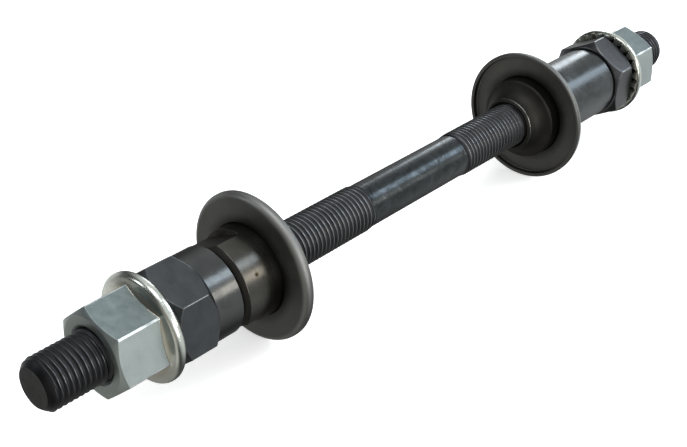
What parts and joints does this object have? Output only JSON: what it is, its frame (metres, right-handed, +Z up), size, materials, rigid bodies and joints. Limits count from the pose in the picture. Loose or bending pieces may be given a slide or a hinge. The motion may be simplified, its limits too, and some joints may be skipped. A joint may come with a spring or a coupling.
{
  "type": "rear hub axle",
  "caption": "Threaded bicycle rear hub axle with bearing cones, dust caps, a tube spacer, hexagonal lock nuts and serrated flange nuts.",
  "frame": {"origin": "middle of the axle's length, on its centre line", "axes": "+Y along the axle towards the right (freewheel) end, +Z up, +X forward"},
  "size_m": [0.0288, 0.185, 0.0288],
  "materials": {
    "black_oxide_thread": "black-oxide steel, oiled",
    "zinc_plate": "bright zinc plate",
    "slate_steel": "satin dark steel",
    "plum_steel": "satin dark steel",
    "blued_tube": "polished dark steel",
    "hardened_cone": "ground and hardened dark steel",
    "browned_cap": "satin brown-black steel"
  },
  "bodies": {
    "axle_set": {"axle": "black_oxide_thread", "left_lock_nut": "slate_steel", "left_cone": "hardened_cone", "left_dust_cap": "browned_cap", "right_cone": "hardened_cone", "right_dust_cap": "browned_cap", "right_spacer": "blued_tube", "right_lock_nut": "plum_steel"},
    "left_nut": {"left_axle_nut": "zinc_plate"},
    "right_nut": {"right_axle_nut": "zinc_plate"}
  },
  "joints": [
    {"name": "left_nut_travel", "type": "slide", "parent": "axle_set", "child": "left_nut", "axis": [0, -1, 0], "range_m": [0, 0.02434]},
    {"name": "right_nut_travel", "type": "slide", "parent": "axle_set", "child": "right_nut", "axis": [0, 1, 0], "range_m": [0, 0.02222]}
  ]
}
